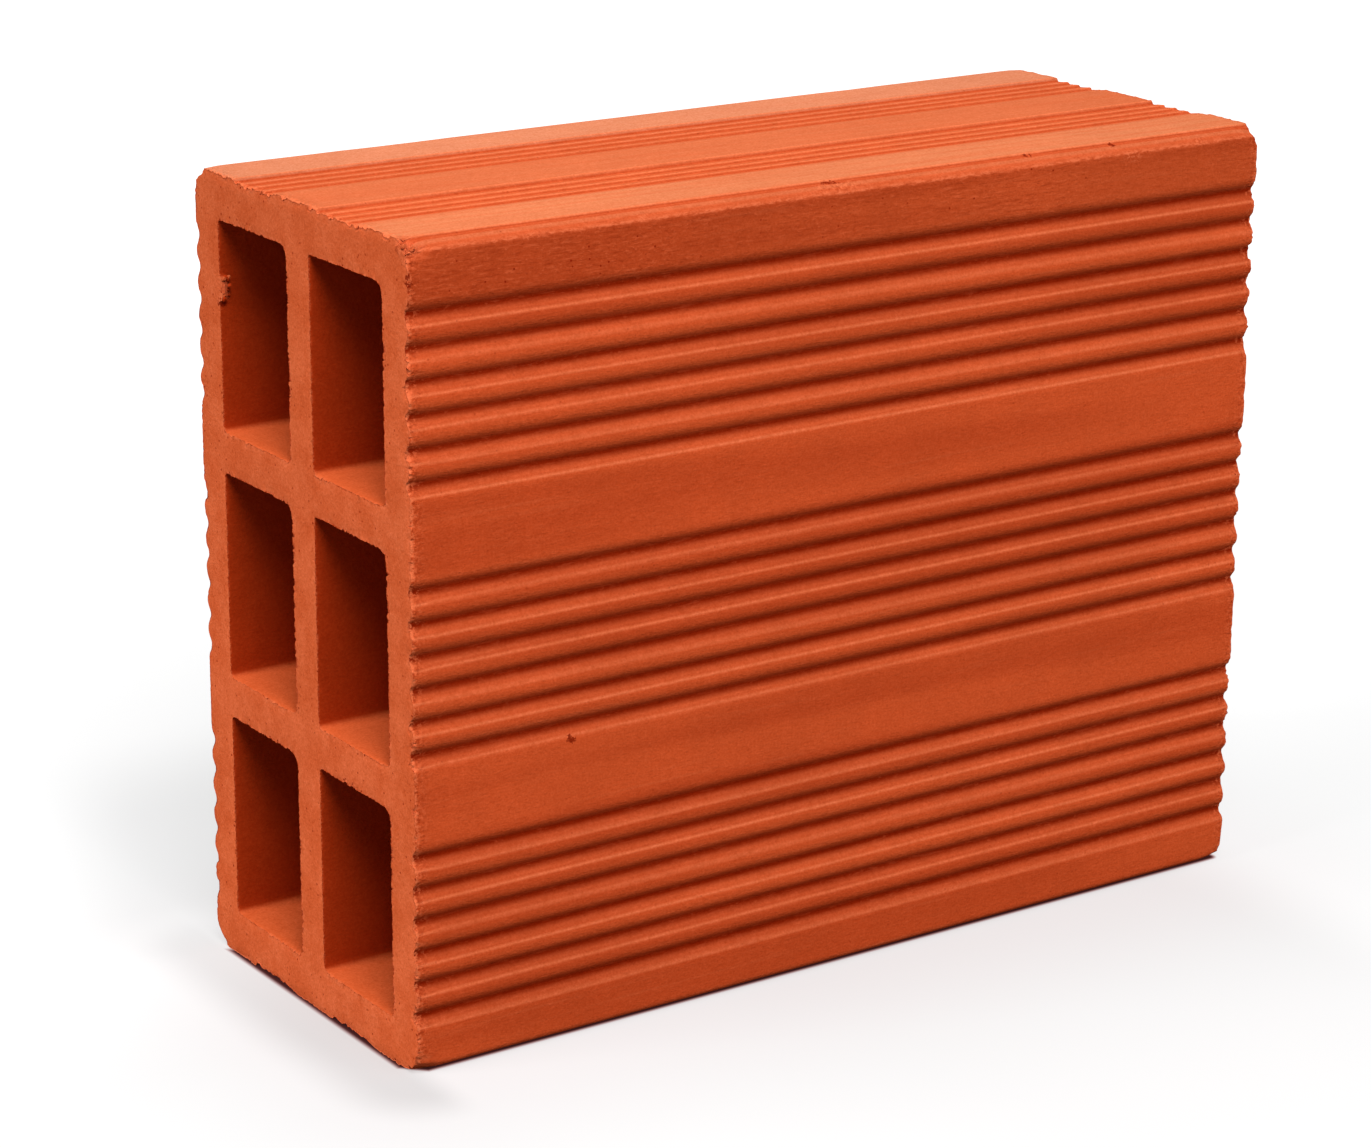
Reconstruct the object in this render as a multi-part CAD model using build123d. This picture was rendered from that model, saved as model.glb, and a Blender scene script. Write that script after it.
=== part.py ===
from build123d import *
import os

# Hollow clay brick: one extruded, wire-cut and fired piece with six through cells.
# Millimetres, X along the length, Y across the width, Z up, resting on Z = 0.

# Overall size
length = 250.0
width = 100.0
height = 200.0

# Long edges: a step down from the bed face, a narrow ledge, then a bevel to the long side
border_width = 4.2
border_depth = 0.6
border_slope_width = 0.4
bevel_width = 3.0
bevel_height = 1.8
bevel_radius = 2.0
long_edge_radius = 1.6

# Walls round the cells and between them
outer_wall = 11.5
middle_web = 11.0
shelf_thickness = 10.5
cell_lower_radius = 1.8
cell_upper_front_radius = 3.2
cell_upper_back_radius = 0.8
cell_columns = 2
cell_rows = 3

# Broad ribs on the two long sides, in bands that are cut into the wall
rib_pitch = 7.85
ribs_per_band = 5
rib_depth = 1.55
rib_slope_height = 2.6
rib_return_height = 1.95
rib_root_height = 1.0
rib_crest_radius = 3.4
rib_root_radius = 1.2
band_spacing = 64.3
middle_band_height = 99.3
bands_per_side = 3

# Fine saw-toothed grooves on the two bed faces, in strips
groove_pitch = 4.7
grooves_per_strip = 4
groove_depth = 0.95
groove_fall_width = 0.8
ridge_depth = 0.45
strip_run_out = 6.0
strip_spacing = 39.0
strips_per_bed = 2

# Size and pitch of the cells follow from the walls
cell_width = (width - 2 * outer_wall - (cell_columns - 1) * middle_web) / cell_columns
cell_height = (height - 2 * outer_wall - (cell_rows - 1) * shelf_thickness) / cell_rows
cell_pitch_across = cell_width + middle_web
cell_pitch_up = cell_height + shelf_thickness

# How far a cutting shape reaches outside the brick
overreach = 3.0


def spread(count, spacing, middle):
    """Positions of evenly spaced features about a middle."""
    first = middle - spacing * (count - 1) / 2
    return [first + index * spacing for index in range(count)]


def corners_at(sketch, across, lowest, highest):
    """Corners of a sketch that lie on one upright line, between two levels."""
    found = []
    for corner in sketch.vertices():
        if abs(corner.X - across) < 0.01 and lowest < corner.Y < highest:
            found.append(corner)
    return found


def rib_band_ends(band_middle):
    """Levels at which a band of ribs leaves the flat side above it and below it."""
    reach = rib_pitch * ribs_per_band / 2 + rib_root_height / 2
    return band_middle + reach + rib_return_height, band_middle - reach - rib_slope_height


def rib_band_cut(side, band_middle):
    """Shape taken out of one long side to leave a band of ribs.

    Below each root the wall slopes out to a rounded crest level with the side,
    and then returns more steeply to the next root.
    """
    face = side * width / 2
    root = side * (width / 2 - rib_depth)
    outside = side * (width / 2 + overreach)
    top, bottom = rib_band_ends(band_middle)
    outline = [(outside, top), (face, top)]
    for level in reversed(spread(ribs_per_band + 1, rib_pitch, band_middle)):
        root_top = level + rib_root_height / 2
        root_bottom = level - rib_root_height / 2
        if outline[-1][1] < top:
            outline.append((face, root_top + rib_return_height))
        outline.append((root, root_top))
        outline.append((root, root_bottom))
        outline.append((face, root_bottom - rib_slope_height))
    outline.append((outside, bottom))
    with BuildSketch() as cut:
        with BuildLine():
            Polyline(*outline, close=True)
        make_face()
        fillet(corners_at(cut, root, bottom, top), rib_root_radius)
        fillet(corners_at(cut, face, bottom + 0.1, top - 0.1), rib_crest_radius)
    return cut.sketch


def groove_strip_cut(bed_level, inward, strip_middle):
    """Shape taken out of a bed face: a strip of fine saw-toothed grooves.

    Going forwards, each groove falls steeply and rises gently to a ridge below the
    face. The last one runs out to the face itself.
    """
    strip_width = groove_pitch * (grooves_per_strip - 1) + groove_fall_width + strip_run_out
    back = strip_middle + strip_width / 2
    front = strip_middle - strip_width / 2
    outside = bed_level - inward * overreach
    outline = [(back, outside), (back, bed_level)]
    for index in range(grooves_per_strip):
        ridge = back - index * groove_pitch
        if index > 0:
            outline.append((ridge, bed_level + inward * ridge_depth))
        outline.append((ridge - groove_fall_width, bed_level + inward * groove_depth))
    outline += [(front, bed_level), (front, outside)]
    with BuildSketch() as cut:
        with BuildLine():
            Polyline(*outline, close=True)
        make_face()
    return cut.sketch


def raised_body():
    """Outline of the brick with its bevelled long edges and its two raised bed faces."""
    side = width / 2
    bed_edge = side - border_width
    ledge = height - border_depth
    bevel_foot = ledge - bevel_height
    half = [
        (side, bevel_foot),
        (side - bevel_width, ledge),
        (bed_edge + border_slope_width, ledge),
        (bed_edge, height),
    ]
    upper = half + [(-across, level) for across, level in reversed(half)]
    lower = [(across, height - level) for across, level in reversed(upper)]
    with BuildSketch() as body:
        with BuildLine():
            Polyline(*upper, *lower, close=True)
        make_face()
        for across in (-1, 1):
            for level in (ledge, height - ledge):
                corner = corners_at(body, across * (side - bevel_width), level - 0.1, level + 0.1)
                fillet(corner, bevel_radius)
            for level in (bevel_foot, height - bevel_foot):
                corner = corners_at(body, across * side, level - 0.1, level + 0.1)
                fillet(corner, long_edge_radius)
    return body.sketch


def cell_cut():
    """Shape of one cell, whose four corners are rounded by three radii."""
    half_across, half_up = cell_width / 2, cell_height / 2
    with BuildSketch() as cut:
        Rectangle(cell_width, cell_height)
        fillet(corners_at(cut, -half_across, 0, height), cell_upper_front_radius)
        fillet(corners_at(cut, half_across, 0, height), cell_upper_back_radius)
        for across in (-half_across, half_across):
            fillet(corners_at(cut, across, -half_up - 0.1, 0.1 - half_up), cell_lower_radius)
    return cut.sketch


def brick_section():
    """Cross-section of the brick with its ribs, grooves and cells."""
    with BuildSketch() as section:
        add(raised_body())
        for side in (-1, 1):
            for band_middle in spread(bands_per_side, band_spacing, middle_band_height):
                add(rib_band_cut(side, band_middle), mode=Mode.SUBTRACT)
                for shoulder in rib_band_ends(band_middle):
                    corner = corners_at(section, side * width / 2, shoulder - 0.1, shoulder + 0.1)
                    fillet(corner, rib_crest_radius)
        for bed_level, inward in ((0, 1), (height, -1)):
            for strip_middle in spread(strips_per_bed, strip_spacing, 0):
                strip = groove_strip_cut(bed_level, inward, strip_middle)
                add(strip, mode=Mode.SUBTRACT)
        with Locations((0, height / 2)):
            with GridLocations(cell_pitch_across, cell_pitch_up, cell_columns, cell_rows):
                add(cell_cut(), mode=Mode.SUBTRACT)
    return section.sketch


with BuildPart() as brick:
    with BuildSketch(Plane.YZ.offset(-length / 2)):
        add(brick_section())
    extrude(amount=length)

os.makedirs("parts", exist_ok=True)
export_step(brick.part, "parts/brick.step")
print("brick volume, cm3:", round(brick.part.volume / 1000, 1))
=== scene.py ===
import math
from types import SimpleNamespace

import bpy
import numpy as np
from mathutils import Matrix, Vector
from mathutils.geometry import delaunay_2d_cdt


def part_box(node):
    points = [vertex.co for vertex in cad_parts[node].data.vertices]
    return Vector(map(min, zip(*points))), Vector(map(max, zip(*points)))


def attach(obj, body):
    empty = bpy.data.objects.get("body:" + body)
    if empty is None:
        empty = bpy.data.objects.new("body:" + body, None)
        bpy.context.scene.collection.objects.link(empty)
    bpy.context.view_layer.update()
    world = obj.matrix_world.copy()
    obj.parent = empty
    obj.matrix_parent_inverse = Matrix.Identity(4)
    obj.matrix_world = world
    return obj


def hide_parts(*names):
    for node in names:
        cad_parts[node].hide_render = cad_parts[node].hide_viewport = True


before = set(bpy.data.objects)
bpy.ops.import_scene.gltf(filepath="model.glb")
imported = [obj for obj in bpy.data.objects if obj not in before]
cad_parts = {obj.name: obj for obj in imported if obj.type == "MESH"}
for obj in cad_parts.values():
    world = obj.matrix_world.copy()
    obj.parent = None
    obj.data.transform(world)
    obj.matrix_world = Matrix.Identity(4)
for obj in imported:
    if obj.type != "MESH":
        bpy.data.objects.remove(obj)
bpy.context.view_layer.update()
brick_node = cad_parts["brick"]
box_low, box_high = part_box("brick")

# Lengths are in millimetres, and MM turns them into metres for Blender. Only the floor's
# size and the places of lamps and camera are in metres.
MM = 0.001
SEED = 7
half_length = (box_high.x - box_low.x) / MM / 2
half_width = (box_high.y - box_low.y) / MM / 2
height = (box_high.z - box_low.z) / MM

# Points closer than this are one point, and points this close to an end lie in its face
weld_size = 0.0005
end_tolerance = 0.01

# How finely the outline of the section is followed, far from the shown end and near it
dense_step = 0.05
outline_softening = 0.15
flat_spacing = 1.5
rib_spacing = 0.6
bend_spacing = 0.34
near_flat_spacing = 0.30
near_bend_spacing = 0.26
near_hidden_spacing = 0.55
cell_flat_spacing = 2.2
cell_bend_spacing = 0.6
near_cell_spacing = 0.38

# Bends of the outline, per mm, that take closer points, and how far to both sides
slight_bend = 0.12
sharp_bend = 0.9
rib_bend_reach = 0.8
cell_bend_reach = 0.6
sharp_bend_reach = 0.35

# Back and foot of the section, which the camera hardly sees and which take fewer points
hidden_behind = 47
hidden_below = 3
hidden_side_factor = 1.5
near_hidden_behind = 40
near_hidden_below = 190

# Zone of the ribs on the long sides, and the tilt of the crests that are painted pale, partly for
# the die's rubbing and partly as a painted highlight where they face up
rib_zone_depth = 2.6
rib_zone_half_height = 94
pale_tilt = 0.36
pale_tilt_spread = 0.085
root_reach = 0.25
root_blur = 14

# Distances from an end of the brick at which the mesh has rings of points
near_rings = [0, 0.14, 0.35, 0.65, 1.05, 1.6, 2.5, 4.0]
after_near_rings = [6.0, 8.5, 12.0, 17.0]
far_rings = [0, 0.4, 0.9, 1.6, 2.6, 4.2, 7.0, 11.0, 17.0]
skin_ring_spacing = 10.5
cell_near_rings = [0, 0.14, 0.35, 0.65, 1.05, 1.7, 2.8]
cell_after_near_rings = [4.5, 8.0, 14.0, 24.0]
cell_far_rings = [0, 0.5, 1.2, 2.4, 5.0, 10.0, 20.0]
cell_ring_spacing = 28.0
near_face_spacing = 1.6
far_face_spacing = 2.6

# Wear and irregular edges
surface_wobble = 0.06
end_edge_round = 0.08
end_edge_reach = 0.2
crumb_depth = 0.80
cell_crumb_depth = 0.50
cell_wobble = 0.20
cell_edge_round = 0.06
cell_edge_reach = 0.15
end_face_relief = 0.05
corner_wear = 0.9
shown_foot_wear = 1.5
corner_reach = 7.0
corner_end_wear = 1.3
corner_end_reach = 6.0
torn_depth = 1.5
torn_reach = (7.5, 1.5)
nick_depth = 0.16
sharp_angle = 38

# Where the cut edge crumbles less: at the back, below the top, and along the foot
calm_behind = (38, 44)
calm_below_top = (197, 190)
calm_foot = (4, 1)

# Lip that the wire left on the back edge of the first upper cell
lip_level = 171.7
lip_half_height = 3.0
lip_behind = (37.6, 38.4)
lip_length = (3.2, 0.4)
lip_thickness = 1.9

# The noise along the two cut ends is taken this far apart
end_noise_shift = 50.0


def lattice(cells, seed):
    """Random value from 0 to 1 for each whole-number lattice point, by mixing its bits."""
    h = np.full(cells.shape[0], seed * 374761393 + 668265263, dtype=np.uint64)
    for axis in range(cells.shape[1]):
        part = (cells[:, axis].astype(np.int64) + 1000003).astype(np.uint64)
        h = (h ^ (part * np.uint64(2654435761))) * np.uint64(2246822519)
        h = h & np.uint64(0xFFFFFFFFFFFF)
        h = h ^ (h >> np.uint64(15))
    h = (h * np.uint64(3266489917)) & np.uint64(0xFFFFFFFF)
    h = h ^ (h >> np.uint64(13))
    return (h & np.uint64(0xFFFFFF)).astype(float) / 0xFFFFFF


def noise(points, size, seed):
    """Smooth noise from 0 to 1 whose features are about size across."""
    p = np.asarray(points, float) / np.asarray(size, float)
    base = np.floor(p).astype(np.int64)
    t = p - base
    t = t * t * (3 - 2 * t)
    dims = p.shape[1]
    total = np.zeros(p.shape[0])
    for corner in range(2 ** dims):
        offset = np.array([(corner >> axis) & 1 for axis in range(dims)])
        weight = np.ones(p.shape[0])
        for axis in range(dims):
            weight = weight * (t[:, axis] if offset[axis] else 1 - t[:, axis])
        total += weight * lattice(base + offset, seed)
    return total


def layered(points, size, seed, layers=3):
    """Noise with finer and weaker layers added, from about 0 to 1."""
    total = np.zeros(len(points))
    strength = 1.0
    weight = 0.0
    size = np.asarray(size, float)
    for layer in range(layers):
        total += strength * noise(points, size / 2 ** layer, seed + 17 * layer)
        weight += strength
        strength *= 0.5
    return total / weight


def smooth_step(low, high, value):
    """0 at low and before it, 1 at high and beyond it; low may be the greater."""
    t = np.clip((np.asarray(value, float) - low) / (high - low), 0, 1)
    return t * t * (3 - 2 * t)


def section_loops(node):
    """Closed outlines of the brick's section in millimetres, the outer one first."""
    mesh = node.data
    mesh.calc_loop_triangles()
    points = np.array([v.co for v in mesh.vertices]) / MM
    triangles = np.array([t.vertices for t in mesh.loop_triangles])
    keys = np.round(points / weld_size).astype(np.int64)
    _, first, inverse = np.unique(keys, axis=0, return_index=True, return_inverse=True)
    inverse = inverse.reshape(-1)
    points = points[first]
    triangles = inverse[triangles]
    at_end = points[:, 0] < points[:, 0].min() + end_tolerance
    count = {}
    for a, b, c in triangles[at_end[triangles].all(axis=1)]:
        for u, v in ((a, b), (b, c), (c, a)):
            count[frozenset((u, v))] = count.get(frozenset((u, v)), 0) + 1
    neighbours = {}
    for edge, times in count.items():
        if times == 1 and len(edge) == 2:
            u, v = edge
            neighbours.setdefault(u, []).append(v)
            neighbours.setdefault(v, []).append(u)
    loops = []
    left = set(neighbours)
    while left:
        start = min(left)
        loop = [start]
        left.discard(start)
        while True:
            step = [n for n in neighbours[loop[-1]] if n in left]
            if not step:
                break
            loop.append(step[0])
            left.discard(step[0])
        loops.append(points[loop][:, 1:])
    loops.sort(key=lambda q: -np.ptp(q[:, 1]))
    return [turn_left(q) for q in loops]


def turn_left(loop):
    """The loop in the direction that has its inside on the left."""
    y, z = loop[:, 0], loop[:, 1]
    area = 0.5 * np.sum(y * np.roll(z, -1) - z * np.roll(y, -1))
    return loop if area > 0 else loop[::-1]


def dense_outline(loop, step, softening):
    """The outline at even small steps, with its facets and corners softened a little."""
    closed = np.vstack([loop, loop[:1]])
    run = np.r_[0, np.cumsum(np.linalg.norm(np.diff(closed, axis=0), axis=1))]
    count = int(run[-1] / step)
    at = np.linspace(0, run[-1], count, endpoint=False)
    dense = np.c_[np.interp(at, run, closed[:, 0]), np.interp(at, run, closed[:, 1])]
    reach = int(4 * softening / step)
    offsets = np.arange(-reach, reach + 1)
    kernel = np.exp(-0.5 * (offsets * step / softening) ** 2)
    kernel /= kernel.sum()
    smooth = np.zeros_like(dense)
    for offset, weight in zip(offsets, kernel):
        smooth += weight * np.roll(dense, -offset, axis=0)
    return smooth


def normals_and_bend(points):
    """Outward normals of a left-turning outline, and how sharply it bends, per mm."""
    ahead = np.roll(points, -1, axis=0) - points
    behind = points - np.roll(points, 1, axis=0)
    tangent = ahead + behind
    tangent /= np.linalg.norm(tangent, axis=1)[:, None]
    normal = np.c_[tangent[:, 1], -tangent[:, 0]]
    turn = np.arctan2(
        behind[:, 0] * ahead[:, 1] - behind[:, 1] * ahead[:, 0],
        np.sum(behind * ahead, axis=1),
    )
    length = 0.5 * (np.linalg.norm(ahead, axis=1) + np.linalg.norm(behind, axis=1))
    return normal, turn / np.maximum(length, 1e-9)


def widen(mask, reach):
    """A mask spread to both sides along a closed outline."""
    total = np.convolve(np.r_[mask, mask, mask].astype(float), np.ones(2 * reach + 1), "same")
    return total[len(mask):2 * len(mask)] > 0.5


def blur(values, reach):
    """Moving average along a closed outline."""
    kernel = np.ones(2 * reach + 1) / (2 * reach + 1)
    return np.convolve(np.r_[values, values, values], kernel, "same")[len(values):2 * len(values)]


def chosen_points(spacing):
    """Numbers of the dense points to keep, so that they lie about spacing apart."""
    run = np.r_[0, np.cumsum(dense_step / spacing)]
    count = int(round(run[-1]))
    return np.unique(np.searchsorted(run, np.linspace(0, run[-1], count, endpoint=False)))


def skin_outline(loop):
    """The skin's outline with its coarse and fine choices of points."""
    dense = dense_outline(loop, dense_step, outline_softening)
    normal, bend = normals_and_bend(dense)
    bend = blur(bend, 5)
    curved = widen(np.abs(bend) > slight_bend, int(rib_bend_reach / dense_step))
    sharp = widen(np.abs(bend) > sharp_bend, int(sharp_bend_reach / dense_step))
    across, level = dense.T
    spacing = np.full(len(dense), flat_spacing)
    spacing[curved] = rib_spacing
    spacing[sharp] = bend_spacing
    spacing[(across > hidden_behind) | (level < hidden_below)] *= hidden_side_factor
    near = np.full(len(dense), near_flat_spacing)
    near[sharp] = near_bend_spacing
    near[(across > near_hidden_behind) & (level < near_hidden_below)] = near_hidden_spacing

    # Crests paled partly by the die's rubbing and partly as a painted highlight, roots and the
    # feet of the bed grooves darkened as painted shade, and slopes that face up, which are painted
    # paler as painted light
    on_side = np.abs(across) > half_width - rib_zone_depth
    on_side &= np.abs(level - height / 2) < rib_zone_half_height
    rubbed = np.exp(-((normal[:, 1] - pale_tilt) / pale_tilt_spread) ** 2)
    rib_crest = (bend > 0.2) * rubbed * on_side
    bed_crest = smooth_step(0.5, 1.2, bend) * ~on_side
    root = widen((bend < -0.5) & on_side, int(root_reach / dense_step))
    root = blur(root.astype(float), root_blur)
    groove = blur(((bend < -0.7) & ~on_side).astype(float), 2)
    return {
        "points": dense, "normal": normal,
        "coarse": chosen_points(spacing), "fine": chosen_points(near),
        "crest": np.maximum(rib_crest, bed_crest), "root": root, "groove": groove,
        "upward": smooth_step(0.15, 0.6, normal[:, 1]),
    }


def cell_outline(loop):
    """A cell's outline, whose normals point into the clay, with its choices of points."""
    dense = dense_outline(loop, dense_step, outline_softening)
    normal, bend = normals_and_bend(dense)
    curved = widen(np.abs(bend) > slight_bend, int(cell_bend_reach / dense_step))
    spacing = np.full(len(dense), cell_flat_spacing)
    spacing[curved] = cell_bend_spacing
    near = np.full(len(dense), near_cell_spacing)
    nothing = np.zeros(len(dense))
    return {
        "points": dense, "normal": normal,
        "coarse": chosen_points(spacing), "fine": chosen_points(near),
        "crest": nothing, "root": nothing, "groove": nothing,
        "upward": smooth_step(0.5, 0.9, -normal[:, 1]),
    }


def ring_plan(fine, after, spacing, far):
    """Places along X of the rings, each with the choice of points that it uses."""
    left = [(d - half_length, "fine") for d in fine]
    left += [(d - half_length, "coarse") for d in after]
    right = [(half_length - d, "coarse") for d in reversed(far)]
    start, stop = left[-1][0], right[0][0]
    count = int(round((stop - start) / spacing))
    between = [(x, "coarse") for x in np.linspace(start, stop, count + 1)[1:-1]]
    return left + between + right


loops = section_loops(brick_node)
skin = skin_outline(loops[0])
cells = [cell_outline(q) for q in loops[1:]]


def crumbs(along, place, grain, depth, seed):
    """How deep the cut edge has crumbled, from where a point lies along that edge."""
    fine = layered(along, grain, seed, 2)
    zone = layered(along, 10, seed + 1, 2)
    broken = smooth_step(0.48, 0.60, fine) * (0.35 + 0.65 * smooth_step(0.42, 0.60, zone))
    broken = broken + 0.30 * smooth_step(0.45, 0.75, noise(along, 0.8, seed + 3))
    lumps = 0.55 + 0.9 * noise(place, 1.1, seed + 2)
    return depth * broken * lumps


def worn_skin(x, outline, number):
    """Positions of the skin's points, and how chipped each is."""
    y, z = outline["points"][number].T
    place = np.c_[x, y, z]
    from_end = half_length - np.abs(x)
    along = np.c_[y, z, np.sign(x) * end_noise_shift]

    # Slow waves of the soft clay
    inset = surface_wobble * layered(place, (45, 9, 9), SEED, 2)

    # Crumbled edge at both cut ends
    calm = 1 - 0.6 * smooth_step(*calm_behind, y) * smooth_step(*calm_below_top, z)
    calm = calm * (1 - 0.5 * smooth_step(*calm_foot, z))
    broken = crumbs(along, place, 1.3, crumb_depth, SEED + 1) * calm
    reach = 0.4 + 1.1 * noise(along, 3, SEED + 4)
    fallen = broken * smooth_step(reach, 0.0, from_end)
    inset = inset + end_edge_round * np.exp(-from_end / end_edge_reach) + fallen
    chipped = smooth_step(0.08, 0.4, fallen)

    # Worn corners, the shown upper one torn
    corner = np.sqrt(
        from_end ** 2 + (half_width - np.abs(y)) ** 2 + np.minimum(z, height - z) ** 2
    )
    shown_foot = (x < 0) & (y < 0) & (z < height / 2)
    wear = np.where(shown_foot, shown_foot_wear, corner_wear)
    inset = inset + wear * smooth_step(corner_reach, 0, corner)
    torn = smooth_step(*torn_reach, corner) * (x < 0) * (y < 0)
    rough = layered(place, 1.6, SEED + 5, 2)
    torn_share = 0.3 + 0.7 * (z > height / 2)
    inset = inset + torn_depth * torn * smooth_step(0.40, 0.62, rough) * torn_share
    chipped = np.maximum(chipped, torn * smooth_step(0.35, 0.6, rough))

    # Nicks on the crests of the ribs
    nick = smooth_step(0.74, 0.92, noise(place, (6.0, 2.2, 2.2), SEED + 6))
    inset = inset + nick_depth * outline["crest"][number] * nick

    place[:, 1:] -= outline["normal"][number] * inset[:, None]
    end_shift = 0.10 + 0.28 * layered(along, 3.0, SEED + 8, 2) + 0.5 * broken
    end_shift = end_shift * (from_end < end_tolerance)
    corner_shift = corner_end_wear * smooth_step(corner_end_reach, 0, corner)
    corner_shift = corner_shift * np.exp(-from_end / 2.0)
    place[:, 0] -= np.sign(x) * (end_shift + corner_shift)
    return place, chipped


def worn_cell(x, outline, number):
    """Positions of a cell wall's points, and how chipped each is."""
    y, z = outline["points"][number].T
    place = np.c_[x, y, z]
    from_end = half_length - np.abs(x)
    along = np.c_[y, z, np.sign(x) * end_noise_shift]
    broken = crumbs(along, place, 1.0, cell_crumb_depth, SEED + 11)
    reach = 0.35 + 0.8 * noise(along, 3, SEED + 14)
    fallen = broken * smooth_step(reach, 0.0, from_end)
    shift = cell_edge_round * np.exp(-from_end / cell_edge_reach) + fallen
    chipped = smooth_step(0.10, 0.4, fallen)
    shift = shift + cell_wobble * (layered(place, (34, 8, 8), SEED + 15, 2) - 0.5)

    # Lip that the wire left
    lip = np.exp(-((z - lip_level) / lip_half_height) ** 4) * smooth_step(*lip_behind, y) * (x < 0)
    lip = lip * smooth_step(*lip_length, from_end)
    shift = shift - lip_thickness * lip * (0.35 + layered(place, 1.5, SEED + 17, 2))
    chipped = np.maximum(chipped, smooth_step(0.1, 0.5, lip))

    place[:, 1:] += outline["normal"][number] * shift[:, None]
    end_shift = 0.06 + 0.22 * layered(along, 2.5, SEED + 18, 2) + 0.4 * broken
    place[:, 0] -= np.sign(x) * end_shift * (from_end < end_tolerance)
    return place, chipped


def end_face_points(step, edges):
    """Scattered points over the end face, and how far each is from an edge."""
    jitter, least_gap, chunk = 0.3, 0.55, 400
    rng = np.random.default_rng(SEED)
    ys = np.arange(-half_width + step, half_width, step)
    zs = np.arange(step, height, step)
    grid = np.array([(a, b) for a in ys for b in zs])
    grid = grid + rng.uniform(-jitter, jitter, grid.shape) * step
    kept, gaps = [], []
    for start in range(0, len(grid), chunk):
        part = grid[start:start + chunk]
        gap = np.sqrt(((part[:, None, :] - edges[None, :, :]) ** 2).sum(axis=2)).min(axis=1)
        kept.append(part[gap > least_gap * step])
        gaps.append(gap[gap > least_gap * step])
    return np.vstack(kept), np.concatenate(gaps)


def inside(points, loop):
    """True where a point lies inside a closed outline."""
    result = np.zeros(len(points), bool)
    y0, z0 = loop[:, 0], loop[:, 1]
    y1, z1 = np.roll(y0, -1), np.roll(z0, -1)
    for a, b, c, d in zip(y0, z0, y1, z1):
        crosses = (b > points[:, 1]) != (d > points[:, 1])
        if crosses.any():
            where = a + (points[:, 1] - b) * (c - a) / (d - b if d != b else 1e-12)
            result ^= crosses & (points[:, 0] < where)
    return result


def end_face_triangles(outlines, scatter):
    """Triangles over the end face: numbers into the outlines' points, then the scatter."""
    flat = np.vstack(outlines + [scatter])
    edges = []
    start = 0
    for outline in outlines:
        count = len(outline)
        edges += [(start + i, start + (i + 1) % count) for i in range(count)]
        start += count
    found = delaunay_2d_cdt([Vector(p) for p in flat.tolist()], edges, [], 0, 1e-6)
    faces, sources = found[2], found[3]
    origin = [s[0] if s else -1 for s in sources]
    triangles = np.array([[origin[i] for i in face] for face in faces if len(face) == 3])
    triangles = triangles[(triangles >= 0).all(axis=1)]
    middle = flat[triangles].mean(axis=1)
    good = inside(middle, outlines[0])
    for outline in outlines[1:]:
        good &= ~inside(middle, outline)
    triangles = triangles[good]
    a, b, c = (flat[triangles[:, i]] for i in range(3))
    area = (b[:, 0] - a[:, 0]) * (c[:, 1] - a[:, 1]) - (b[:, 1] - a[:, 1]) * (c[:, 0] - a[:, 0])
    triangles[area < 0] = triangles[area < 0][:, ::-1]
    return triangles


def zipper(first, first_start, second, second_start, around):
    """Triangles between two rings that use different points of one outline."""
    a = list(first) + [first[0] + around]
    b = list(second) + [second[0] + around]
    faces = []
    i = j = 0
    while i < len(first) or j < len(second):
        here, there = first_start + i % len(first), second_start + j % len(second)
        if j == len(second) or (i < len(first) and a[i + 1] <= b[j + 1]):
            i += 1
            faces.append((here, there, first_start + i % len(first)))
        else:
            j += 1
            faces.append((here, there, second_start + j % len(second)))
    return faces


def lump_shape():
    """Points and triangles of a round lump of radius 1."""
    g = (1 + 5 ** 0.5) / 2
    corners = [(-1, g, 0), (1, g, 0), (-1, -g, 0), (1, -g, 0), (0, -1, g), (0, 1, g),
               (0, -1, -g), (0, 1, -g), (g, 0, -1), (g, 0, 1), (-g, 0, -1), (-g, 0, 1)]
    sides = [(0, 11, 5), (0, 5, 1), (0, 1, 7), (0, 7, 10), (0, 10, 11), (1, 5, 9), (5, 11, 4),
             (11, 10, 2), (10, 7, 6), (7, 1, 8), (3, 9, 4), (3, 4, 2), (3, 2, 6), (3, 6, 8),
             (3, 8, 9), (4, 9, 5), (2, 4, 11), (6, 2, 10), (8, 6, 7), (9, 8, 1)]
    points = [np.array(c, float) for c in corners]
    middles = {}

    def middle(i, j):
        key = (min(i, j), max(i, j))
        if key not in middles:
            middles[key] = len(points)
            points.append((points[i] + points[j]) / 2)
        return middles[key]

    faces = []
    for i, j, k in sides:
        a, b, c = middle(i, j), middle(j, k), middle(k, i)
        faces += [(i, a, c), (j, b, a), (k, c, b), (a, b, c)]
    points = np.array(points)
    return points / np.linalg.norm(points, axis=1)[:, None], np.array(faces)


# Loose crumbs on the edge of the shown end: least and greatest corner of the zone that
# they lie in, how many, their least and greatest radius, and how many of each five have
# the cell walls' dark colour, which is painted shade
crumb_zones = [
    ((-124.6, 36.8, 169.4), (-122.8, 38.6, 174.6), 22, 0.30, 0.70, 3),
    ((-124.6, -48.6, 195.0), (-121.8, -46.0, 198.6), 12, 0.25, 0.60, 0),
]


# Kinds of faces, and how far the rims by the cut reach, along the walls and over the ends
drawn_kind, cell_kind, cut_kind = 0, 1, 2
wall_rim_reach = 1.2
end_rim_reach = (2.4, 0.4)


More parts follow.
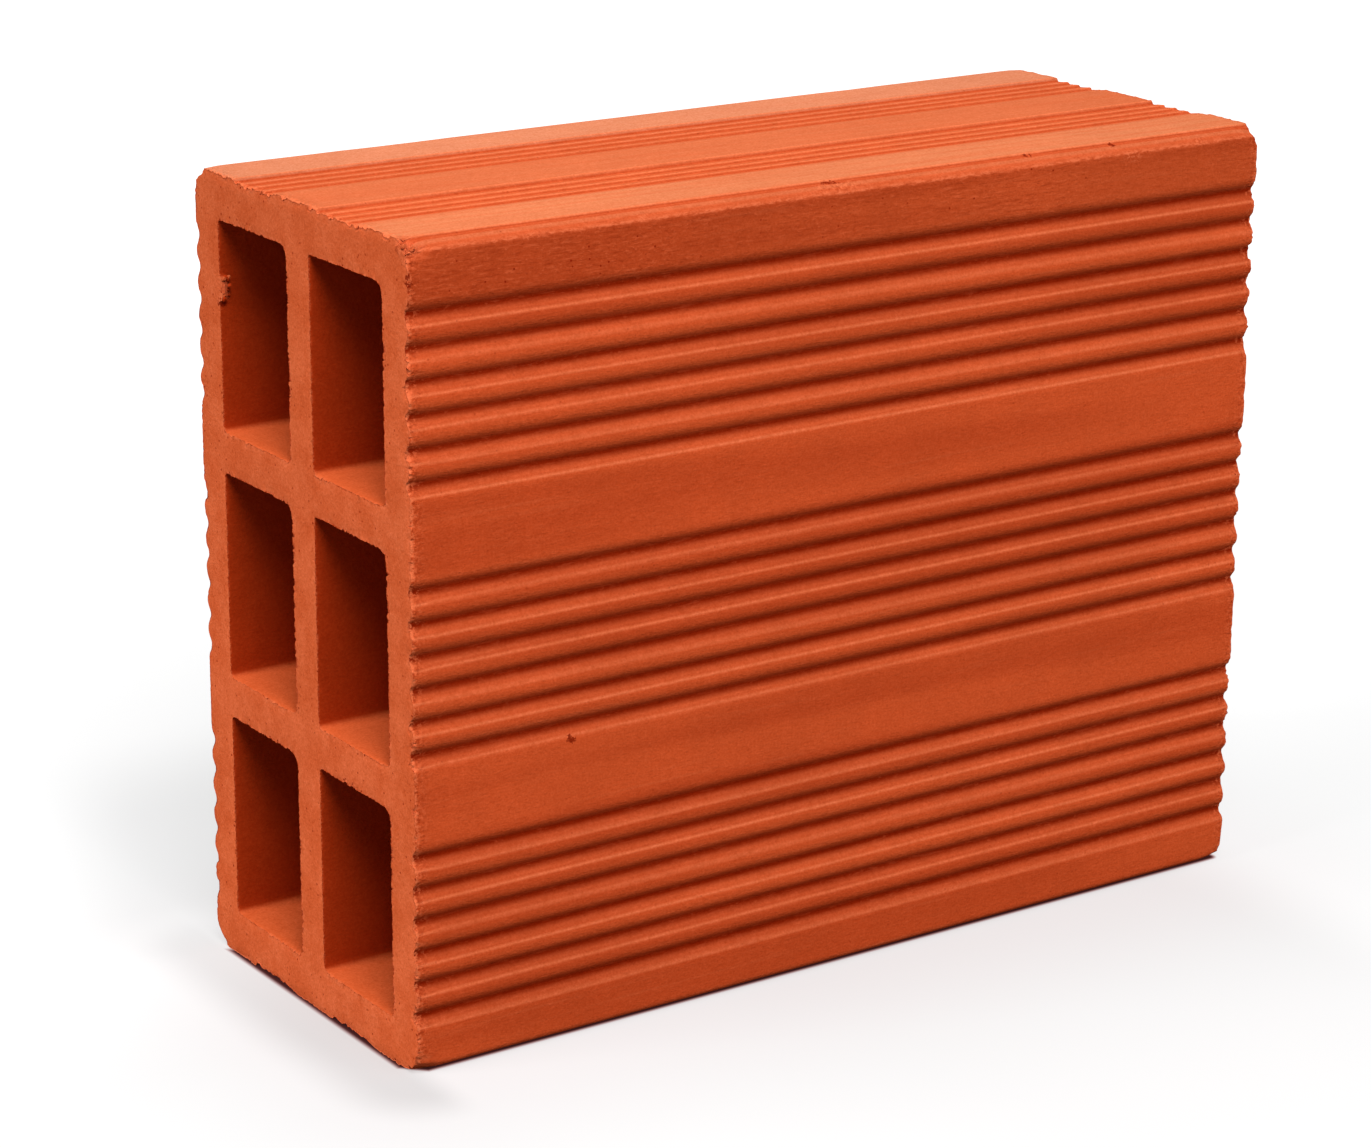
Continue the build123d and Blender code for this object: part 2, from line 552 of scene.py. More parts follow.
def build_brick():
    """One mesh of the fired brick, worn and ragged, inside the solid's box."""
    places, chips, rims = [], [], []
    marks = {"crest": [], "root": [], "groove": [], "upward": []}
    faces, kinds = [], []
    total = 0

    def add_faces(new, kind):
        faces.extend(new)
        kinds.extend([kind] * len(new))

    def add_sleeve(outline, plan, shape, outward, kind):
        """Rings of one outline along the brick; returns where its end rings start."""
        nonlocal total
        starts, xs, numbers = [], [], []
        for x, choice in plan:
            starts.append(total)
            numbers.append(outline[choice])
            xs.append(np.full(len(outline[choice]), x))
            total += len(outline[choice])
        x, number = np.concatenate(xs), np.concatenate(numbers)
        place, chipped = shape(x, outline, number)
        places.append(place)
        chips.append(chipped)
        rims.append(np.exp(-(half_length - np.abs(x)) / wall_rim_reach))
        for name, values in marks.items():
            values.append(outline[name][number])
        for i in range(len(plan) - 1):
            low, high = starts[i], starts[i + 1]
            if plan[i][1] == plan[i + 1][1]:
                ring = np.arange(len(numbers[i]))
                after = (ring + 1) % len(ring)
                new = np.c_[low + ring, high + ring, high + after, low + after].tolist()
            else:
                around = len(outline["points"])
                new = zipper(numbers[i].tolist(), low, numbers[i + 1].tolist(), high, around)
            add_faces([f[::-1] for f in new] if outward else new, kind)
        return starts[0], starts[-1]

    ends = []
    skin_plan = ring_plan(near_rings, after_near_rings, skin_ring_spacing, far_rings)
    ends.append(add_sleeve(skin, skin_plan, worn_skin, True, drawn_kind))
    cell_plan = ring_plan(
        cell_near_rings, cell_after_near_rings, cell_ring_spacing, cell_far_rings
    )
    for cell in cells:
        ends.append(add_sleeve(cell, cell_plan, worn_cell, False, cell_kind))

    # Cut end faces
    for side, which, choice, step in ((-1, 0, "fine", near_face_spacing),
                                      (1, 1, "coarse", far_face_spacing)):
        outlines = [o["points"][o[choice]] for o in [skin] + cells]
        scatter, gap = end_face_points(step, np.vstack(outlines))
        numbers = np.concatenate(
            [np.arange(e[which], e[which] + len(o)) for e, o in zip(ends, outlines)]
            + [np.arange(total, total + len(scatter))]
        )
        flat = np.c_[scatter, np.full(len(scatter), side * end_noise_shift)]
        sink = end_face_relief * layered(flat, 3.6, SEED + 21, 3)
        places.append(np.c_[side * (half_length - sink), scatter])
        chips.append(np.zeros(len(scatter)))
        rims.append(smooth_step(*end_rim_reach, gap))
        for values in marks.values():
            values.append(np.zeros(len(scatter)))
        total += len(scatter)
        cap = numbers[end_face_triangles(outlines, scatter)]
        add_faces((cap[:, ::-1] if side < 0 else cap).tolist(), cut_kind)

    # Loose crumbs
    rng = np.random.default_rng(SEED)
    ball, ball_faces = lump_shape()
    for low, high, count, small, large, deep in crumb_zones:
        for number in range(count):
            middle = rng.uniform(low, high)
            radius = rng.uniform(small, large)
            shape = ball * (0.55 + 0.9 * noise(ball + middle, 0.8, SEED + 31))[:, None]
            places.append(middle + radius * shape * rng.uniform(0.75, 1.2, 3))
            chips.append(np.zeros(len(ball)))
            rims.append(np.zeros(len(ball)))
            for values in marks.values():
                values.append(np.zeros(len(ball)))
            kind = cell_kind if number % 5 < deep else cut_kind
            add_faces((ball_faces + total).tolist(), kind)
            total += len(ball)

    place = np.vstack(places)
    place[:, 0] = np.clip(place[:, 0], -half_length, half_length)
    place[:, 1] = np.clip(place[:, 1], -half_width, half_width)
    place[:, 2] = np.clip(place[:, 2], 0, height)
    mesh = bpy.data.meshes.new("fired_brick")
    mesh.from_pydata((place * MM).tolist(), [], faces)
    kinds = np.array(kinds)
    for name, kind in (("cell_wall", cell_kind), ("cut_face", cut_kind)):
        flags = (kinds == kind).astype(np.float32)
        mesh.attributes.new(name, "FLOAT", "FACE").data.foreach_set("value", flags)
    for name, values in {"chipped": chips, "rim": rims, **marks}.items():
        flat = np.concatenate(values).astype(np.float32)
        mesh.attributes.new(name, "FLOAT", "POINT").data.foreach_set("value", flat)
    mesh.polygons.foreach_set("use_smooth", np.ones(len(mesh.polygons), bool))
    mesh.set_sharp_from_angle(angle=math.radians(sharp_angle))
    print("brick mesh:", len(place), "points,", sum(len(f) - 2 for f in faces), "triangles")
    return bpy.data.objects.new("brick_fired", mesh)


class Tree:
    """Short names for building a node tree."""

    def __init__(self, tree):
        tree.nodes.clear()
        self.nodes = tree.nodes
        self.links = tree.links

    def node(self, kind, settings=None, **inputs):
        made = self.nodes.new(kind)
        for name, value in (settings or {}).items():
            setattr(made, name, value)
        for name, value in inputs.items():
            self.put(made.inputs[name.replace("_", " ")], value)
        return made

    def put(self, socket, value):
        if isinstance(value, bpy.types.NodeSocket):
            self.links.new(value, socket)
        elif isinstance(value, tuple) and len(value) == 3 and socket.type == "RGBA":
            socket.default_value = (*value, 1)
        else:
            socket.default_value = value

    def math(self, operation, a, b=0.0, clamp=False):
        made = self.node("ShaderNodeMath", {"operation": operation, "use_clamp": clamp})
        self.put(made.inputs[0], a)
        self.put(made.inputs[1], b)
        return made.outputs[0]

    def chained(self, operation, values):
        result = values[0]
        for value in values[1:]:
            result = self.math(operation, result, value)
        return result

    def times(self, *values):
        return self.chained("MULTIPLY", values)

    def plus(self, *values):
        return self.chained("ADD", values)

    def most(self, *values):
        return self.chained("MAXIMUM", values)

    def less(self, value, taken, clamp=False):
        return self.math("SUBTRACT", value, taken, clamp)

    def rising(self, start, gain, mask):
        """start where the mask is 0, and start + gain where it is 1."""
        return self.plus(start, self.times(mask, gain))

    def falling(self, mask, loss):
        """1 where the mask is 0, and 1 - loss where it is 1."""
        return self.less(1.0, self.times(mask, loss))

    def between(self, value, none, full):
        """0 from none outwards, 1 from full outwards, smooth between; either may be greater."""
        made = self.node("ShaderNodeMapRange", {"interpolation_type": "SMOOTHSTEP"})
        self.put(made.inputs["Value"], value)
        self.put(made.inputs["From Min"], none)
        self.put(made.inputs["From Max"], full)
        return made.outputs[0]

    def zone(self, place, none, full):
        """between() for a place, with its limits in millimetres."""
        return self.between(place, none * MM, full * MM)

    def colour_mix(self, share, a, b, blend="MIX"):
        made = self.node("ShaderNodeMix", {"data_type": "RGBA", "blend_type": blend})
        self.put(made.inputs[0], share)
        self.put(made.inputs[6], a)
        self.put(made.inputs[7], b)
        return made.outputs[2]

    def coat(self, under, colour, mask, strength=None):
        """A colour laid over another where the mask is, as strongly as strength says."""
        share = mask if strength is None else self.times(mask, strength)
        return self.colour_mix(share, under, colour)

    def colour(self, *channels):
        """A colour joined from red, green and blue."""
        made = self.node("ShaderNodeCombineColor")
        for index, value in enumerate(channels):
            self.put(made.inputs[index], value)
        return made.outputs[0]

    def attribute(self, name):
        return self.node("ShaderNodeAttribute", {"attribute_name": name}).outputs["Fac"]

    def axes(self, coordinates):
        """Outputs of the coordinates along X, Y and Z."""
        made = self.node("ShaderNodeSeparateXYZ")
        self.put(made.inputs[0], coordinates)
        return made.outputs["X"], made.outputs["Y"], made.outputs["Z"]

    def vector(self, operation, *values):
        made = self.node("ShaderNodeVectorMath", {"operation": operation})
        for index, value in enumerate(values):
            self.put(made.inputs[index], value)
        return made.outputs["Value" if operation == "LENGTH" else "Vector"]

    def noise(self, coordinates, scale, detail, roughness):
        made = self.node("ShaderNodeTexNoise", {"noise_dimensions": "3D"}, Vector=coordinates)
        self.put(made.inputs["Scale"], scale)
        self.put(made.inputs["Detail"], detail)
        self.put(made.inputs["Roughness"], roughness)
        return made.outputs["Fac"]

    def shaken(self, coordinates, noises, amount):
        """Coordinates moved by three noises, by up to amount mm, so that marks turn ragged."""
        joined = self.node("ShaderNodeCombineXYZ")
        for index, value in enumerate(noises):
            self.put(joined.inputs[index], value)
        return self.vector("MULTIPLY_ADD", joined.outputs[0], (amount * MM,) * 3, coordinates)

    def patch(self, place, middle, reach, core, shift=0.0):
        """1 near a point, 0 beyond its reach; lengths in millimetres."""
        offset = self.vector("SUBTRACT", place, tuple((m + shift) * MM for m in middle))
        scaled = self.vector("MULTIPLY", offset, tuple(1 / (r * MM) for r in reach))
        return self.between(self.vector("LENGTH", scaled), 1.0, core)

    def spots(self, coordinates, scale, radius, share):
        """1 inside scattered round spots, for a share of the cells of a Voronoi pattern."""
        made = self.node("ShaderNodeTexVoronoi", {"feature": "F1"}, Vector=coordinates)
        self.put(made.inputs["Scale"], scale)
        near = self.between(made.outputs["Distance"], radius, radius * 0.55)
        split = self.node("ShaderNodeSeparateColor")
        self.put(split.inputs[0], made.outputs["Color"])
        return self.times(near, self.math("LESS_THAN", split.outputs[0], share))

    def seen_directly(self):
        """1 for rays of the camera, of gloss and through glass, 0 for scattered light."""
        path = self.node("ShaderNodeLightPath").outputs
        return self.most(
            path["Is Camera Ray"], path["Is Glossy Ray"], path["Is Transmission Ray"]
        )


def new_material(name):
    material = bpy.data.materials.new(name)
    material.use_nodes = True
    return material, Tree(material.node_tree)


# Colours of the clay, as linear light
SIDE_RED = (0.61, 0.086, 0.0215)
SIDE_DEEP = (0.53, 0.067, 0.0160)
# Painted shade of the rib roots, also the colour of dark scratches and flecks
DARK_MARK_AND_ROOT_SHADE = (0.23, 0.011, 0.0007)
CUT_PALE = (0.65, 0.137, 0.048)
CUT_RED = (0.58, 0.095, 0.026)
BED_RED = (0.61, 0.102, 0.031)
# Pale bed colour, used as painted highlight on the top, on slopes that face up and on the borders
# of the beds
BED_PALE = (0.645, 0.188, 0.078)
BED_FAR = (0.68, 0.245, 0.130)
# Pale clay of chips and crumbled edges, and the painted highlight on the crests of the ribs
PALE_CHIP_AND_HIGHLIGHT = (0.78, 0.185, 0.070)
SHADED_CELL_RED = (0.42, 0.036, 0.0055)
LIT_CELL_FLOOR = (0.68, 0.112, 0.030)
DUST_AND_GLINT = (0.80, 0.195, 0.078)
FLECK = (0.78, 0.155, 0.055)
PORE = (0.25, 0.009, 0.0006)
NICK = (0.20, 0.008, 0.0005)

# Noises drawn out along the length: scale along and across per metre, detail, roughness
stretched_noises = {
    "streaks": (14, 520, 2.0, 0.6),
    "broad_streaks": (5, 110, 1.0, 0.5),
    "scratches": (190, 1500, 2.0, 0.65),
    "flecks": (560, 1500, 2.0, 0.7),
}
# Noises that are the same in all directions: scale per metre, detail, roughness
even_noises = {
    "clouds": (16.0, 1.0, 0.5),
    "mottle": (95.0, 2.0, 0.6),
    "coarse": (560.0, 2.0, 0.65),
    "grain": (1700.0, 1.0, 0.6),
    "crumble": (900.0, 2.0, 0.7),
}
pore_scale, pore_radius, pore_share = 400.0, 0.14, 0.34

# How far the noises move the ragged marks, how far the bevel's foot wanders, and how deep
# the finest relief is
mark_shake = 2.6
bevel_foot_wander = 0.7
fine_relief = 0.22

# The grain deepens red, green and blue by these powers, so that dark grains are redder
grain_powers = (1.0, 2.0, 3.2)

# Marks that show to the camera: middle and reach
crumbled_places = [
    ((-6.5, -48.0, 198.0), (12.5, 3.0, 3.0)),
    ((83.0, -49.0, 196.4), (5.0, 2.5, 2.4)),
    ((105.0, -48.5, 197.6), (3.5, 2.5, 1.8)),
    ((-62.0, -48.5, 197.6), (4.0, 2.2, 1.6)),
    ((-92.0, -49.0, 197.2), (6.0, 2.2, 1.4)),
    ((-123.5, -47.5, 196.5), (3.2, 3.2, 3.6)),
]
dark_nicks = [
    ((-82.2, -50.0, 75.8), (1.5, 1.6, 0.75)),
    ((-82.9, -50.0, 76.7), (0.7, 1.6, 0.7)),
    ((-8.0, -46.6, 199.4), (3.2, 1.0, 0.45)),
    ((51.6, -46.6, 199.4), (0.6, 1.2, 0.7)),
    ((52.9, -46.8, 199.3), (0.4, 1.2, 0.6)),
    ((78.7, -46.8, 199.3), (0.9, 1.3, 0.9)),
    ((-124.8, -49.4, 195.2), (0.8, 1.0, 0.7)),
    ((-124.8, -49.6, 191.8), (1.2, 1.3, 0.8)),
    ((-124.8, -49.8, 190.2), (1.7, 1.6, 0.55)),
    ((-124.2, 38.8, 168.2), (1.9, 1.8, 1.2)),
]
torn_curl = ((-125.0, -46.8, 197.6), (2.2, 1.9, 1.5))


def by_the_beds(t, level, none, full):
    """1 near both bed faces, from depths below the one and heights above the other."""
    return t.most(t.zone(level, height - none, height - full), t.zone(level, none, full))


def clay_inputs(t):
    """Places, marks of the mesh and noises that the steps of the clay share."""
    place = t.node("ShaderNodeTexCoord").outputs["Object"]
    x, y, level = t.axes(place)
    c = SimpleNamespace(place=place, y=y, level=level, across=t.math("ABSOLUTE", y))
    c.from_end = t.less(half_length * MM, t.math("ABSOLUTE", x))
    c.cut = t.attribute("cut_face")
    c.cell = t.attribute("cell_wall")
    for name in ("chipped", "crest", "root", "groove", "upward", "rim"):
        setattr(c, name, t.attribute(name))
    c.drawn = t.less(1.0, c.cut, clamp=True)
    c.outside = t.less(c.drawn, c.cell, clamp=True)

    # Skin by the cut, and how much of the dark marks is left there above the bevel's foot
    c.near_cut = t.times(t.zone(c.from_end, 5.0, 0.2), c.outside)
    c.on_side = t.falling(t.zone(level, height - 3, height - 1), 0.7)

    for name, (along, across, detail, roughness) in stretched_noises.items():
        stretched = t.vector("MULTIPLY", place, (along, across, across))
        setattr(c, name, t.noise(stretched, 1.0, detail, roughness))
    for name, (scale, detail, roughness) in even_noises.items():
        setattr(c, name, t.noise(place, scale, detail, roughness))
    c.pores = t.spots(place, pore_scale, pore_radius, pore_share)

    # Bevel along the top, above a ragged line, the flats of the bed faces, and the plain
    # band above the ribs
    bevel_level = t.plus(level, t.times(t.less(c.flecks, 0.5), bevel_foot_wander * MM))
    c.bevelled = t.zone(bevel_level, height - 3.15, height - 2.55)
    c.bevel_foot = t.times(c.bevelled, t.zone(bevel_level, height - 1.8, height - 2.5))
    c.flat = by_the_beds(t, level, 0.34, 0.14)
    c.upper_band = t.times(t.zone(level, height - 18, height - 12), c.outside)
    return c


def drawn_skin(t, c):
    """Colour of the skin that the die has drawn."""
    side = t.coat(SIDE_DEEP, SIDE_RED, t.between(c.broad_streaks, 0.35, 0.65))
    side = t.coat(side, CUT_PALE, t.between(c.streaks, 0.55, 0.8), strength=0.24)
    # Painted light: slopes that face up are painted paler, and the bevel takes more of the bed's
    # colour where it faces up
    side = t.coat(side, BED_PALE, c.upward, strength=0.12)
    side = t.coat(side, BED_RED, t.times(c.bevelled, t.rising(0.30, 0.60, c.upward)))

    # Painted shade in the crease and a painted highlight on the pale line along each border of a
    # bed face
    border = t.zone(c.level, height - 2.6, height - 2.2)
    crease_shade = t.zone(c.across, half_width - 4.3, half_width - 3.9)
    crease_shade = t.times(crease_shade, t.zone(c.across, half_width - 2.3, half_width - 3.0))
    edge_highlight = t.zone(c.across, half_width - 2.9, half_width - 2.4)
    edge_highlight = t.times(edge_highlight, t.zone(c.across, half_width - 1.2, half_width - 1.9))
    side = t.coat(side, SIDE_DEEP, t.times(crease_shade, border), strength=0.8)
    side = t.coat(side, BED_PALE, t.times(edge_highlight, border), strength=0.4)

    # Strips and flats of the bed faces, painted paler than the sides as a painted highlight for
    # the strongly lit top, redder in the middle and paler at the back
    bed = t.coat(BED_PALE, BED_RED, t.between(c.streaks, 0.38, 0.66), strength=0.30)
    bed = t.coat(bed, BED_RED, t.zone(c.across, 16, 8), strength=0.45)
    bed = t.coat(bed, BED_FAR, t.zone(c.y, 12, 32), strength=0.6)
    side = t.coat(side, bed, by_the_beds(t, c.level, 0.8, 0.4), strength=0.65)
    side = t.coat(side, bed, c.flat)

    # Painted shade at the foot of the grooves and in the deep roots, and crests paled partly by
    # rubbing and partly as a painted highlight
    side = t.coat(side, SIDE_DEEP, c.groove, strength=0.9)
    side = t.coat(side, PALE_CHIP_AND_HIGHLIGHT, c.crest, strength=0.80)
    return t.coat(side, DARK_MARK_AND_ROOT_SHADE, c.root, strength=0.95)


def bare_clay(t, c):
    """Colour of the drawn skin, the cells and the cut ends together; the cells' walls are painted
    dark as painted shade and their floors paler as painted light.
    """
    bore = t.coat(SHADED_CELL_RED, LIT_CELL_FLOOR, c.upward)
    pale = t.rising(0.20, 0.45, t.between(c.mottle, 0.35, 0.65))
    ends = t.coat(CUT_RED, CUT_PALE, pale)
    clay = t.coat(t.coat(drawn_skin(t, c), bore, c.cell), ends, c.cut)
    return t.coat(clay, PALE_CHIP_AND_HIGHLIGHT, c.chipped, strength=0.45)


def uneven_tone_and_lit_foot(t, c, clay):
    """Clouds and mottles, a darker band under the bevel, and the feet of the cut ends painted
    paler as painted light.
    """
    shade = t.times(t.rising(0.92, 0.16, c.clouds), t.rising(0.92, 0.16, c.mottle))
    below_bevel = t.less(c.upper_band, c.bevelled, clamp=True)
    shade = t.times(shade, t.falling(below_bevel, 0.12))
    painted_light_foot = t.times(c.cut, t.less(0.12, t.times(c.level, 0.18 / (height * MM))))
    shade = t.times(shade, t.plus(1.0, painted_light_foot))
    fine = t.times(t.rising(0.90, 0.20, c.coarse), t.rising(0.84, 0.32, c.grain))
    tone = t.colour(*[t.times(shade, t.math("POWER", fine, power)) for power in grain_powers])
    return t.colour_mix(1.0, clay, tone, "MULTIPLY")


def rubbed_marks(t, c, clay):
    """Short scratches, flecks and pits, strongest on the upper band and by the cut."""
    rubbed = t.rising(0.34, 0.66, t.most(c.upper_band, c.near_cut))
    rubbed = t.times(rubbed, t.less(c.outside, t.times(c.flat, 0.75), clamp=True))
    rubbed = t.times(rubbed, t.rising(0.55, 0.45, t.between(c.clouds, 0.42, 0.60)))
    rubbed = t.times(rubbed, t.falling(c.bevelled, 0.6))
    light = t.most(
        t.times(t.between(c.scratches, 0.55, 0.68), 0.32),
        t.times(t.between(c.flecks, 0.58, 0.70), 0.38),
    )
    dark = t.most(
        t.times(t.between(c.scratches, 0.46, 0.34), 0.30),
        t.times(t.between(c.flecks, 0.42, 0.30), 0.34),
    )
    clay = t.coat(clay, FLECK, t.times(light, rubbed))
    clay = t.coat(clay, DARK_MARK_AND_ROOT_SHADE, t.times(dark, rubbed))
    clay = t.coat(clay, PORE, t.times(c.pores, rubbed), strength=0.9)
    loose_line = t.times(c.bevel_foot, c.outside, t.between(c.flecks, 0.44, 0.60))
    return t.coat(clay, DUST_AND_GLINT, loose_line, strength=0.55)


def cut_edges(t, c, clay):
    """Crumbled skin by the cut, teeth on the mouths of the cells, nicks and glints."""
    light = t.times(t.between(c.crumble, 0.53, 0.61), c.near_cut)
    dark = t.times(t.between(c.crumble, 0.45, 0.37), c.near_cut, c.on_side)
    clay = t.coat(clay, FLECK, light, strength=0.60)
    clay = t.coat(clay, PORE, dark, strength=0.42)
    at_edge = t.times(t.zone(c.from_end, 1.2, 0.3), c.outside)
    edge = t.times(at_edge, t.between(c.crumble, 0.42, 0.54))
    clay = t.coat(clay, PALE_CHIP_AND_HIGHLIGHT, edge, strength=0.65)

    teeth = t.times(c.cell, t.between(c.rim, 0.62, 0.93), t.between(c.grain, 0.48, 0.56))
    clay = t.coat(clay, CUT_PALE, teeth, strength=0.75)
    nicks = t.times(c.cut, t.between(c.rim, 0.78, 0.95), t.between(c.crumble, 0.56, 0.62))
    clay = t.coat(clay, PORE, t.times(nicks, c.on_side), strength=0.55)
    # Glints on the rims of the cut ends are a painted highlight
    glints = t.times(c.cut, t.between(c.rim, 0.60, 0.90), t.between(c.crumble, 0.45, 0.38))
    return t.coat(clay, DUST_AND_GLINT, glints, strength=0.35)


def pored_ends(t, c, clay):
    """Pores and specks of the cut ends, densest at their edges."""
    amount = t.times(c.cut, t.rising(0.70, 0.30, c.rim))
    holes = t.most(c.pores, t.times(t.between(c.grain, 0.30, 0.24), 0.4))
    clay = t.coat(clay, PORE, t.times(holes, amount))
    specks = t.times(t.between(c.grain, 0.72, 0.80), amount)
    return t.coat(clay, DUST_AND_GLINT, specks, strength=0.4)


def placed_marks(t, c, clay):
    """Crumbled places, nicks and the curl that the wire tore at the shown corner."""
    near = [t.patch(c.place, middle, reach, core=0.25) for middle, reach in crumbled_places]
    crumbled = t.most(0.0, *near)
    loose = t.times(t.between(c.crumble, 0.50, 0.60), crumbled)
    missing = t.times(t.between(c.crumble, 0.44, 0.37), crumbled)
    clay = t.coat(clay, DUST_AND_GLINT, loose, strength=0.55)
    clay = t.coat(clay, PORE, missing, strength=0.288)

    shaken = t.shaken(c.place, (c.crumble, c.coarse, c.grain), mark_shake)
    shift = mark_shake / 2
    nicks = [t.patch(shaken, middle, reach, 0.60, shift) for middle, reach in dark_nicks]
    outer = t.patch(shaken, *torn_curl, 0.82, shift)
    inner = t.patch(shaken, *torn_curl, 0.40, shift)
    curl = t.less(outer, inner, clamp=True)
    curl = t.times(curl, t.zone(c.y, 2.5 - half_width, 3.8 - half_width))
    nicked = t.most(0.0, *nicks, t.times(curl, 0.8))
    return t.coat(clay, NICK, nicked, strength=0.85)


def fine_bump(t, c):
    """Normal of the fine relief, roughest where the clay is broken."""
    broken = t.most(t.times(c.cut, 0.3), c.near_cut, c.chipped)
    relief = t.times(t.plus(c.coarse, c.grain), t.rising(0.35, 0.85, broken))
    relief = t.plus(relief, t.times(c.flecks, 0.8, c.drawn))
    bump = t.node("ShaderNodeBump", Strength=1.0, Distance=fine_relief * MM, Height=relief)
    return bump.outputs[0]


def fired_clay():
    material, t = new_material("fired_clay")
    c = clay_inputs(t)
    clay = bare_clay(t, c)
    for step in (uneven_tone_and_lit_foot, rubbed_marks, cut_edges, pored_ends, placed_marks):
        clay = step(t, c, clay)
    surface = t.node(
        "ShaderNodeBsdfPrincipled",
        Base_Color=clay, Roughness=t.rising(0.80, 0.14, c.mottle),
        Specular_IOR_Level=0.0, Diffuse_Roughness=0.6, Normal=fine_bump(t, c),
    )
    t.node("ShaderNodeOutputMaterial", Surface=surface.outputs[0])
    return material


# How far the line on which the brick stands lies inside its length and width
foot_inset_x = 0.8
foot_inset_y = 4.4

# Edge of the painted shadow to the back left: how far back it starts, and its slant over the floor
shadow_start = 91
shadow_slant = 0.39


def pale_floor():
    """White studio floor that takes the brick's shadow, with soft painted shade round its foot."""
    material, t = new_material("studio_floor")
    material.cycles.emission_sampling = "NONE"
    x, y, _ = t.axes(t.node("ShaderNodeTexCoord").outputs["Object"])

    def distance_from(half_x, half_y):
        over = []
        for place, half in ((x, half_x), (y, half_y)):
            beyond = t.most(t.less(t.math("ABSOLUTE", place), half * MM), 0.0)
            over.append(t.times(beyond, beyond))
        return t.math("SQRT", t.plus(*over))

    # Painted shade on all sides, weaker behind the brick and past its right end
    gap = distance_from(half_length, half_width)
    near = t.times(t.zone(gap, 100, 0), 0.04)
    middle = t.times(t.zone(gap, 140, 0), 0.06)
    wide = t.times(t.rising(0.085, 0.045, t.zone(x, -120, 0)), t.zone(gap, 500, 100))
    front = t.falling(t.zone(y, -20, 60), 0.7)
    front = t.times(front, t.falling(t.zone(x, 100, 140), 0.5))
    shade = t.times(t.plus(near, middle, wide), front)

    # Deeper painted shade by the shown end, and a painted shadow to the back left
    by_the_end = t.times(t.zone(gap, 26, 8), t.zone(x, -118, -128), t.zone(y, 75, 45))
    slanted = t.less(x, t.times(t.less(y, shadow_start * MM), shadow_slant))
    back_left = t.times(t.zone(slanted, -158, -118), t.zone(y, 40, 80))
    back_left = t.times(back_left, t.zone(y, 205, 135), t.zone(x, 30, -30))
    shade = t.plus(shade, t.times(by_the_end, 0.17), t.times(back_left, 0.125))
    base = t.rising(0.84, 0.27, t.zone(gap, 150, 800))

    # Painted contact shadow: a dark line where the brick stands, which ends short of two corners:
    # 0 on it, 1 off it
    foot_gap = distance_from(half_length - foot_inset_x, half_width - foot_inset_y)
    corner_sum = half_length + half_width
    past_back = t.zone(y, half_width - 9.5, half_width - 5.5)
    past_corner = t.zone(t.plus(x, y), 8.5 - corner_sum, 6.0 - corner_sum)
    clear = t.most(past_back, past_corner, t.zone(foot_gap, 0.7, 2.5))
    clear = t.rising(0.05, 0.95, clear)

    # The glow is a little warm near the brick, a painted bounce light, and the painted contact
    # line is brown
    level = t.times(t.less(base, shade), clear)
    tint = t.falling(t.times(t.zone(gap, 60, 0), front), 0.05)
    tinted = t.times(level, tint, t.rising(0.25, 0.75, clear))
    glow = t.node("ShaderNodeEmission", Strength=t.seen_directly())
    t.put(glow.inputs["Color"], t.colour(level, tinted, tinted))
    # The matt part is darkened along the contact line too, as painted shade
    grey = t.times(clear, 0.27)
    matt = t.node("ShaderNodeBsdfDiffuse", Color=t.colour(t.rising(0.04, 0.23, clear), grey, grey))
    both = t.node("ShaderNodeAddShader")
    t.put(both.inputs[0], matt.outputs[0])
    t.put(both.inputs[1], glow.outputs[0])
    t.node("ShaderNodeOutputMaterial", Surface=both.outputs[0])
    return material


def in_scene(thing):
    bpy.context.scene.collection.objects.link(thing)
    return thing


def facing(place, target):
    """Turn that points a lamp or camera at a point."""
    return (Vector(target) - Vector(place)).to_track_quat("-Z", "Y")


brick = in_scene(build_brick())
brick.data.materials.append(fired_clay())
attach(brick, "root")
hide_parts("brick")

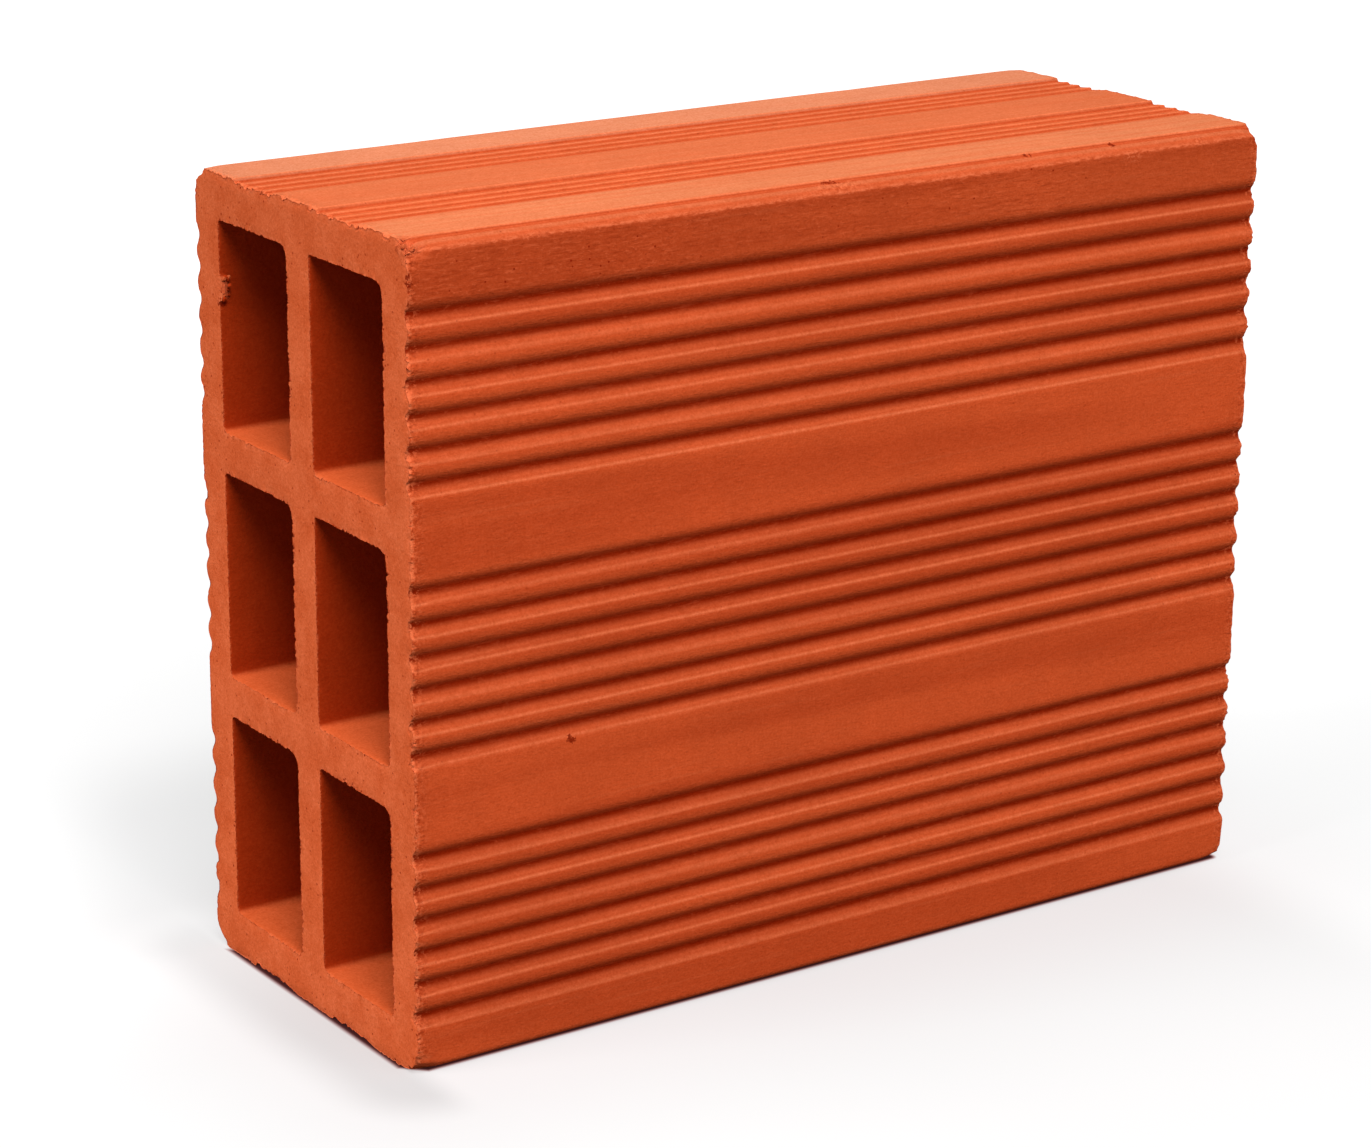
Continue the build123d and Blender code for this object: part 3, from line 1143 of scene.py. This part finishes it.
# Floor, as a large square under the brick
floor_half = 6.0
floor_mesh = bpy.data.meshes.new("floor")
floor_mesh.from_pydata(
    [(-floor_half, -floor_half, 0), (floor_half, -floor_half, 0),
     (floor_half, floor_half, 0), (-floor_half, floor_half, 0)],
    [], [(0, 1, 2, 3)],
)
floor_mesh.materials.append(pale_floor())
floor = in_scene(bpy.data.objects.new("floor", floor_mesh))

# Square soft boxes that face the middle of the brick: place, size and power
soft_boxes = {
    "key_box": ((-0.42, -1.085, 1.41), 0.8, 25.2),
    "front_box": ((0.35, -1.30, 1.35), 1.0, 6.7),
    "end_box": ((-1.61, 0.09, 0.765), 0.8, 17.8),
}
lit_point = (0, 0, 0.1)
for name, (place, size, power) in soft_boxes.items():
    light = bpy.data.lights.new(name, "AREA")
    light.shape = "SQUARE"
    light.size = size
    light.energy = power
    lamp = in_scene(bpy.data.objects.new(name, light))
    lamp.location = place
    lamp.rotation_mode = "QUATERNION"
    lamp.rotation_quaternion = facing(place, lit_point)

# White world, which gives the object only a weak light
ambient = 0.10
world = bpy.data.worlds.new("studio")
world.cycles.sampling_method = "NONE"
world.use_nodes = True
w = Tree(world.node_tree)
sky = w.node("ShaderNodeBackground", Color=(1.0, 1.0, 1.0))
w.put(sky.inputs["Strength"], w.rising(ambient, 1 - ambient, w.seen_directly()))
w.node("ShaderNodeOutputWorld", Surface=sky.outputs[0])
bpy.context.scene.world = world

# Camera at the photograph's viewing angle
camera_place = (-0.5436, -0.7670, 0.3857)
camera_target = (-0.0160, 0.0, 0.0919)
camera_roll = -0.453
camera_lens = 101.73
camera_data = bpy.data.cameras.new("camera")
camera_data.sensor_width = 36.0
camera_data.lens = camera_lens
camera = in_scene(bpy.data.objects.new("camera", camera_data))
camera.location = camera_place
camera.rotation_mode = "QUATERNION"
roll = Matrix.Rotation(math.radians(-camera_roll), 4, "Z").to_quaternion()
camera.rotation_quaternion = facing(camera_place, camera_target) @ roll
bpy.context.scene.camera = camera
bpy.context.scene.view_settings.view_transform = "Standard"
